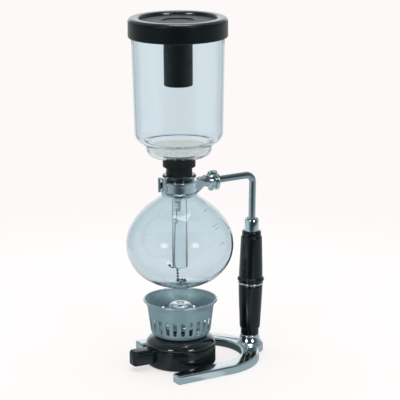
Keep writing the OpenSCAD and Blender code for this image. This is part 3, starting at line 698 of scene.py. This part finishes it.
lid_line = [(0, 330.4), (11.9, 330.4), (11.9, 273.0), (12.3, 272.2), (12.8, 272.0)]
lid_line += arc(12.7, 272.9, 0.9, -60, 0, 5) + [(13.85, 329.2), (14.5, 330.4)]
lid_line += [(43.8, 330.4), (44.4, 329.6), (44.4, 318.4), (44.7, 317.8), (45.1, 317.55)]
lid_line += arc(45.2, 318.9, 1.4, -80, 0, 6)
lid_line += [(46.6, 321.5), (46.55, 328)] + arc(43.0, 332.4, 3.6, 0, 90, 14)
lid_line += [(41.0, 336.0), (38.6, 335.95), (37.4, 335.7), (36.8, 335.2), (36.5, 334.4), (36.3, 333.4),
             (35.8, 333.05), (35.0, 333.0)]
lid_line += [(16.2, 333.0), (15.6, 332.9), (15.3, 332.6), (15.1, 332.15), (14.5, 332.0), (0, 332.0)]
lid_bm = bmesh.new()
add_lathe(lid_bm, tidy(lid_line), 144)
lid = finish_mesh("lid_molded", lid_bm, satin_black, sharp=40)
for mat in (socket_black, rim_black):
    lid.data.materials.append(mat)
for poly in lid.data.polygons:
    c = poly.center
    if c.z > 0.3334 and math.hypot(c.x, c.y) > 0.0362:
        poly.material_index = 2
    if c.z < 0.3302 and math.hypot(c.x, c.y) < 0.0148:
        poly.material_index = 1
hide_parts("lid")
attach(lid, "lid")

# ---------------------------------------------------------------- lamp

holder_line = [(0, 0.5), (24, 0.5), (24.6, 0.0), (29.6, 0.0)] + arc(30.9, 3.0, 2.6, -75, 0, 8)
holder_line += [(33.5, 3.6), (33.5, 18.4), (33.3, 19.0), (32.8, 19.4), (31.9, 19.4), (31.2, 19.1),
                (31.2, 3.2), (30.6, 2.6), (0, 2.6)]
bm = bmesh.new()
add_lathe(bm, tidy(holder_line), 144)
lug = [(-32.6, 7.0), (-46.2, 7.0)] + arc(-49.2, 3.2, 3.8, 90, 180, 8)[1:]
lug += arc(-49.2, -3.2, 3.8, 180, 270, 8) + [(-46.2, -7.0), (-32.6, -7.0)]
levels = [(1.1, 5.2), (0.35, 5.5), (0.0, 6.2), (0.0, 16.6), (0.4, 18.2), (1.2, 19.1), (2.4, 19.4)]
add_prism(bm, lug, levels)
holder = finish_mesh("holder_molded", bm, gloss_black, sharp=46)
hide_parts("lamp_holder")
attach(holder, "lamp")

vessel_out = [(0, 3.0), (27.6, 3.0), (29.8, 3.8), (30.9, 6.0), (30.9, 19.5), (32.0, 19.5), (33.0, 20.0),
              (33.2, 20.8)]
vessel_out += arc(16.0, 20.6, 17.2, 6, 80, 22, ry=9.2)
vessel_out += [(16.0, 29.75), (14.4, 29.95), (13.3, 30.6), (12.95, 31.6), (12.9, 33.1), (12.5, 33.4)]
vessel_in = [(10.9, 33.4), (10.6, 33.0), (10.6, 28.6), (11.6, 27.8), (13.2, 27.55)]
vessel_in += arc(15.0, 20.4, 15.6, 84, 6, 20, ry=7.0)
vessel_in += [(28.9, 17.4), (28.9, 7.4), (28.0, 5.6), (26.6, 5.0), (0, 5.0)]
vessel = lathe("vessel_pressed", vessel_out + vessel_in, lamp_glass, 144, sharp=60)
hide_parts("lamp_vessel")
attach(vessel, "lamp")


def make_guard():
    """The pressed wind guard: a cone of equal panels, each with one round-ended slot."""
    count, across, along = 24, 8, 6
    slot_w, slot_lo, slot_hi = 3.6, 34.6, 48.5
    cell_lo, cell_hi = 33.6, 49.6

    def radius(z):
        return 28.4 + (z - 34.0) * 3.0 / 23.0

    bm = bmesh.new()

    def vert(r, t, z):
        return bm.verts.new((r * math.cos(t) * MM, r * math.sin(t) * MM, z * MM))

    step = 2 * math.pi / count
    below = [(19.0, 29.9), (22.0, 29.9)] + arc(24.2, 33.3, 3.5, -86, -10, 9)
    below = [p for p in below if p[1] < cell_lo - 0.1] + [(radius(cell_lo), cell_lo)]
    above = [(radius(cell_hi), cell_hi), (radius(53.5), 53.5), (31.35, 57), (31.7, 58.4), (32.3, 59.8),
             (33.1, 61.2), (33.75, 62.2), (34.1, 62.9)]
    for line in (below, above):
        for (r0, z0), (r1, z1) in zip(line, line[1:]):
            for k in range(count * across):
                t0, t1 = step * k / across, step * (k + 1) / across
                bm.faces.new((vert(r0, t0, z0), vert(r0, t1, z0), vert(r1, t1, z1), vert(r1, t0, z1)))
    r_mid = radius((slot_lo + slot_hi) / 2)
    half_t = slot_w / 2 / r_mid
    for c in range(count):
        mid = step * (c + 0.5)
        rim, hole = [], []
        for k in range(across):
            rim.append((-step / 2 + step * k / across, cell_hi))
            a = math.pi - math.pi * k / across
            hole.append((half_t * math.cos(a), slot_hi - slot_w / 2 + slot_w / 2 * math.sin(a)))
        for k in range(along):
            f = k / along
            rim.append((step / 2, cell_hi + (cell_lo - cell_hi) * f))
            hole.append((half_t, slot_hi - slot_w / 2 + (slot_lo - slot_hi + slot_w) * f))
        for k in range(across):
            rim.append((step / 2 - step * k / across, cell_lo))
            a = -math.pi * k / across
            hole.append((half_t * math.cos(a), slot_lo + slot_w / 2 + slot_w / 2 * math.sin(a)))
        for k in range(along):
            f = k / along
            rim.append((-step / 2, cell_lo + (cell_hi - cell_lo) * f))
            hole.append((-half_t, slot_lo + slot_w / 2 + (slot_hi - slot_lo - slot_w) * f))
        n = len(rim)
        for k in range(n):
            j = (k + 1) % n
            quad = [rim[k], rim[j], hole[j], hole[k]]
            bm.faces.new([vert(radius(z), mid + t, z) for t, z in quad])
    ob = finish_mesh("guard_pressed", bm, aluminium, sharp=50)
    mod = ob.modifiers.new("sheet", "SOLIDIFY")
    mod.thickness = 0.8 * MM
    mod.offset = 0
    mod.use_even_offset = True
    bevel = ob.modifiers.new("edge", "BEVEL")
    bevel.width = 0.15 * MM
    bevel.segments = 1
    bevel.limit_method = "ANGLE"
    bevel.angle_limit = math.radians(60)
    return ob


guard = make_guard()
roll = lathe("guard_rolled_rim", arc(34.75, 63.65, 0.98, 0, 345, 23), rim_aluminium, 192, sharp=80)
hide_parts("wind_guard")
for ob in (guard, roll):
    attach(ob, "wind_guard")

wick_line = [(5.2, 26.0), (9.2, 26.0), (9.6, 26.4), (9.6, 34.45), (13.3, 34.5), (13.6, 34.8),
             (13.5, 35.8), (12.6, 36.2), (11.3, 36.7), (11.0, 37.4),
             (10.6, 49.8), (11.0, 50.6), (13.0, 51.2), (15.0, 51.75)] + arc(15.05, 52.5, 0.6, -70, 90, 8)
wick_line += [(13.4, 53.3), (12.5, 53.6)] + arc(6.4, 54.2, 5.9, 2, 96, 18)
wick_line += [(4.3, 60.1), (3.5, 59.8), (3.1, 59.2), (3.05, 55), (5.2, 51.6)]
wick_holder = lathe("wick_holder_turned", wick_line, chrome, 96)
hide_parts("wick_holder")
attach(wick_holder, "wick_holder")

bm = bmesh.new()
strands = 9
for k in range(strands):
    t0 = 2 * math.pi * k / strands
    path = []
    for i in range(41):
        z = 9.2 + 50.2 * i / 40
        t = t0 + z * 0.09
        path.append((1.55 * math.cos(t), 1.55 * math.sin(t), z))
    add_sweep(bm, path, 0.72, 8)
add_lathe(bm, [(0, 9.4), (1.5, 9.4), (1.6, 9.8), (1.6, 58.9), (1.3, 59.3), (0, 59.4)], 24)
wick = finish_mesh("wick_braided", bm, cotton, sharp=70)
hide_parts("wick")
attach(wick, "wick")

# ---------------------------------------------------------------- nodes shown as the CAD made them

for name, mat in (("base_nut", steel), ("handle_rod", steel), ("clamp_screw", steel),
                  ("clamp_front", chrome), ("clamp_back", chrome),
                  ("filter_plate", steel), ("filter_rivet", steel), ("vessel_seal", rubber),
                  ("wick_tube", steel)):
    data = nodes[name].data
    data.materials.clear()
    data.materials.append(mat)

for ob in (bulb, funnel, vessel):
    ob.visible_shadow = False

# ---------------------------------------------------------------- floor, lights, world and camera

CAMERA_AZIMUTH = -27
LAMP_AZIMUTHS = (-62, 7)                 # the two studio lamps, either side of the camera
LAMP_TONE = (7.0, 7.2, 7.3)
BACKDROP = (0.982, 0.947, 0.939)
FLOOR_GLOW = (0.68, 0.645, 0.637)
FLOOR_FADE = (0.36, 0.62)                # distance from the object at which the floor fades, in metres
# The floor as polished things see it: painted light in the lamps' beams and painted shade inside the
# horseshoe
BEAM_TONE = (0.55, 0.61, 0.64)
HORSESHOE_SHADE_TONE = (0.05, 0.065, 0.07)
# What the glass and the metal see above the horizon, from behind the object to the camera's side
SKY_TONES = ((0.0, (0.93, 0.95, 0.96)), (0.035, (0.90, 0.93, 0.95)), (0.09, (0.30, 0.36, 0.39)),
             (0.30, (0.26, 0.31, 0.33)),
             (0.62, (0.08, 0.10, 0.11)), (1.0, (0.03, 0.04, 0.044)))
GLASS_TONES = ((0.0, (0.93, 0.95, 0.96)), (0.035, (0.90, 0.93, 0.95)), (0.09, (0.30, 0.36, 0.39)),
               (0.2, (0.30, 0.36, 0.39)),
               (0.3, (0.88, 0.91, 0.93)), (0.75, (0.90, 0.93, 0.95)), (0.9, (0.20, 0.24, 0.26)),
               (1.0, (0.04, 0.05, 0.055)))
# Painted light and shade for what polished things see below the horizon: light behind the object, dark
# towards the camera
GROUND_TONES = ((0.0, (0.85, 0.88, 0.90)), (0.3, (0.50, 0.56, 0.59)), (0.62, (0.36, 0.43, 0.46)),
                (0.85, (0.27, 0.33, 0.36)),
                (0.95, (0.09, 0.115, 0.125)), (1.0, (0.04, 0.05, 0.055)))


def set_ramp(ramp, tones):
    for at, _ in tones[1:-1]:
        ramp.elements.new(at)
    for stop, (_, tone) in zip(ramp.elements, tones):
        stop.color = (*tone, 1)


def round_view(azimuth, dist, height):
    """A point at an azimuth in degrees, counted from the -Y side."""
    a = math.radians(azimuth)
    return (dist * math.sin(a), -dist * math.cos(a), height)


# A round pale table top whose rim fades into the backdrop
bm = bmesh.new()
add_lathe(bm, [(0, 0), (200, 0), (400, 0), (700, 0)], 96, closed=False)
floor_mat = material("floor", (0.30, 0.30, 0.30), 0.9, specular=0.0)
tree = floor_mat.node_tree
pale = tree.nodes["Principled BSDF"]
pale.inputs["Emission Color"].default_value = (*FLOOR_GLOW, 1)
pale.inputs["Emission Strength"].default_value = 1.0
vary_rough(floor_mat, noise(floor_mat, 3, 3), 0.85, 0.95)
length = put(floor_mat, "ShaderNodeVectorMath", operation="LENGTH")
where = place_coords(floor_mat)
tree.links.new(where, length.inputs[0])
fade = map_range(floor_mat, length.outputs["Value"], *FLOOR_FADE, smooth="SMOOTHSTEP")
# Painted light and shade: polished things see a darker floor, lighter in front of the two lamps
course = put(floor_mat, "ShaderNodeVectorMath", operation="NORMALIZE")
tree.links.new(where, course.inputs[0])
glow = None
for azimuth in LAMP_AZIMUTHS:
    near = put(floor_mat, "ShaderNodeVectorMath", operation="DOT_PRODUCT")
    near.inputs[1].default_value = round_view(azimuth, 1.0, 0.0)
    tree.links.new(course.outputs["Vector"], near.inputs[0])
    beam = map_range(floor_mat, near.outputs["Value"], 0.965, 1.0, smooth="SMOOTHERSTEP")
    if glow is None:
        glow = beam.outputs["Result"]
    else:
        both = put(floor_mat, "ShaderNodeMath", operation="MAXIMUM")
        tree.links.new(glow, both.inputs[0])
        tree.links.new(beam.outputs["Result"], both.inputs[1])
        glow = both.outputs["Value"]
toward = put(floor_mat, "ShaderNodeVectorMath", operation="DOT_PRODUCT")
toward.inputs[1].default_value = round_view(CAMERA_AZIMUTH, 1.0, 0.0)
tree.links.new(course.outputs["Vector"], toward.inputs[0])
shade = map_range(floor_mat, toward.outputs["Value"], -1.0, 1.0)
far = map_range(floor_mat, length.outputs["Value"], 0.10, 0.25, to_lo=0.66)
tree.links.new(shade.outputs["Result"], far.inputs["To Max"])
around = put(floor_mat, "ShaderNodeValToRGB")
set_ramp(around.color_ramp, GROUND_TONES)
tree.links.new(far.outputs["Result"], around.inputs["Fac"])
lit = put(floor_mat, "ShaderNodeMixRGB")
lit.inputs["Color2"].default_value = (*BEAM_TONE, 1)
tree.links.new(glow, lit.inputs["Fac"])
tree.links.new(around.outputs["Color"], lit.inputs["Color1"])
# ... and painted shade, darkest inside the horseshoe
inside = put(floor_mat, "ShaderNodeVectorMath", operation="DISTANCE")
inside.inputs[1].default_value = (RING_X * MM, 0, 0)
tree.links.new(where, inside.inputs[0])
horseshoe_shade = map_range(floor_mat, inside.outputs["Value"], 0.036, 0.052, 1.0, 0.0, "SMOOTHSTEP")
shaded_floor = put(floor_mat, "ShaderNodeMixRGB")
shaded_floor.inputs["Color2"].default_value = (*HORSESHOE_SHADE_TONE, 1)
tree.links.new(horseshoe_shade.outputs["Result"], shaded_floor.inputs["Fac"])
tree.links.new(lit.outputs["Color"], shaded_floor.inputs["Color1"])
seen = put(floor_mat, "ShaderNodeEmission")
tree.links.new(shaded_floor.outputs["Color"], seen.inputs["Color"])
ray = put(floor_mat, "ShaderNodeLightPath")
kind = put(floor_mat, "ShaderNodeMixShader")
tree.links.new(ray.outputs["Is Reflection Ray"], kind.inputs["Fac"])
tree.links.new(pale.outputs["BSDF"], kind.inputs[1])
tree.links.new(seen.outputs["Emission"], kind.inputs[2])
clear = put(floor_mat, "ShaderNodeBsdfTransparent")
edge = put(floor_mat, "ShaderNodeMixShader")
tree.links.new(fade.outputs["Result"], edge.inputs["Fac"])
tree.links.new(kind.outputs["Shader"], edge.inputs[1])
tree.links.new(clear.outputs["BSDF"], edge.inputs[2])
tree.links.new(edge.outputs["Shader"], tree.nodes["Material Output"].inputs["Surface"])
floor = finish_mesh("floor", bm, floor_mat)


def softbox(name, at, to, size, power):
    data = bpy.data.lights.new(name, "AREA")
    data.shape = "RECTANGLE"
    data.size, data.size_y = size
    data.energy = power
    ob = bpy.data.objects.new(name, data)
    ob.location = at
    ob.rotation_euler = (Vector(to) - Vector(at)).to_track_quat("-Z", "Y").to_euler()
    ob.visible_diffuse = False
    bpy.context.scene.collection.objects.link(ob)


softbox("top", (0.1, -0.1, 1.9), (0, 0, 0.1), (0.9, 0.9), 8)

# A broad, shadowless fill that lights the floor evenly and shows in no reflection
fill_data = bpy.data.lights.new("fill", "SUN")
fill_data.energy = 2.75
fill_data.angle = math.radians(70)
fill = bpy.data.objects.new("fill", fill_data)
fill.visible_glossy = False
fill.visible_transmission = False
bpy.context.scene.collection.objects.link(fill)

world = bpy.data.worlds.new("studio")
bpy.context.scene.world = world
world.use_nodes = True
wt = world.node_tree
wt.nodes.clear()
link = wt.links.new
co = wt.nodes.new("ShaderNodeTexCoord")


def facing(direction, lo, hi):
    """0 to 1 as a direction's dot product with the given one goes from lo to hi."""
    dot = wt.nodes.new("ShaderNodeVectorMath")
    dot.operation = "DOT_PRODUCT"
    dot.inputs[1].default_value = direction
    link(co.outputs["Generated"], dot.inputs[0])
    mr = wt.nodes.new("ShaderNodeMapRange")
    mr.inputs["From Min"].default_value = lo
    mr.inputs["From Max"].default_value = hi
    link(dot.outputs["Value"], mr.inputs["Value"])
    return mr.outputs["Result"]


ramp = wt.nodes.new("ShaderNodeValToRGB")
set_ramp(ramp.color_ramp, SKY_TONES)
to_camera = facing(round_view(CAMERA_AZIMUTH, 1.0, 0.0), -1.0, 1.0)
link(to_camera, ramp.inputs["Fac"])
below = wt.nodes.new("ShaderNodeValToRGB")
set_ramp(below.color_ramp, GROUND_TONES)
link(to_camera, below.inputs["Fac"])
ground = wt.nodes.new("ShaderNodeMixRGB")
link(below.outputs["Color"], ground.inputs["Color2"])
link(facing((0, 0, -1), 0.0, 0.1), ground.inputs["Fac"])
link(ramp.outputs["Color"], ground.inputs["Color1"])
tone = ground.outputs["Color"]
for azimuth in LAMP_AZIMUTHS:
    lamp = wt.nodes.new("ShaderNodeMixRGB")
    lamp.inputs["Color2"].default_value = (*LAMP_TONE, 1)
    link(facing(Vector(round_view(azimuth, 1.0, 0.30)).normalized(), 0.982, 1.0), lamp.inputs["Fac"])
    link(tone, lamp.inputs["Color1"])
    tone = lamp.outputs["Color"]
# Seen through glass the backdrop is pale from every side, with a darker band that draws the glass's edges
path = wt.nodes.new("ShaderNodeLightPath")
through_glass = wt.nodes.new("ShaderNodeValToRGB")
set_ramp(through_glass.color_ramp, GLASS_TONES)
link(to_camera, through_glass.inputs["Fac"])
picked = wt.nodes.new("ShaderNodeMixRGB")
link(path.outputs["Is Transmission Ray"], picked.inputs["Fac"])
link(tone, picked.inputs["Color1"])
link(through_glass.outputs["Color"], picked.inputs["Color2"])
env = wt.nodes.new("ShaderNodeBackground")
env.inputs["Strength"].default_value = 1.0
back = wt.nodes.new("ShaderNodeBackground")
back.inputs["Color"].default_value = (*BACKDROP, 1)
mix = wt.nodes.new("ShaderNodeMixShader")
out = wt.nodes.new("ShaderNodeOutputWorld")
link(picked.outputs["Color"], env.inputs["Color"])
link(path.outputs["Is Camera Ray"], mix.inputs["Fac"])
link(env.outputs["Background"], mix.inputs[1])
link(back.outputs["Background"], mix.inputs[2])
link(mix.outputs["Shader"], out.inputs["Surface"])
bpy.context.scene.view_settings.view_transform = "Standard"

cam_data = bpy.data.cameras.new("camera")
cam_data.lens = 166.7
cam_data.sensor_width = 36.0
cam_data.clip_end = 60
cam = bpy.data.objects.new("camera", cam_data)
bpy.context.scene.collection.objects.link(cam)
yaw, pitch, roll = math.radians(-27.655), math.radians(14.278), math.radians(-0.372)
ahead = Vector((-math.sin(yaw) * math.cos(pitch), math.cos(yaw) * math.cos(pitch), -math.sin(pitch)))
right = ahead.cross(Vector((0, 0, 1))).normalized()
above = right.cross(ahead)
right, above = (math.cos(roll) * right + math.sin(roll) * above,
                math.cos(roll) * above - math.sin(roll) * right)
turn = Matrix((right, above, -ahead)).transposed()
cam.matrix_world = Matrix.Translation((-0.77178, -1.51471, 0.594)) @ turn.to_4x4()
bpy.context.scene.camera = cam

bpy.context.view_layer.update()
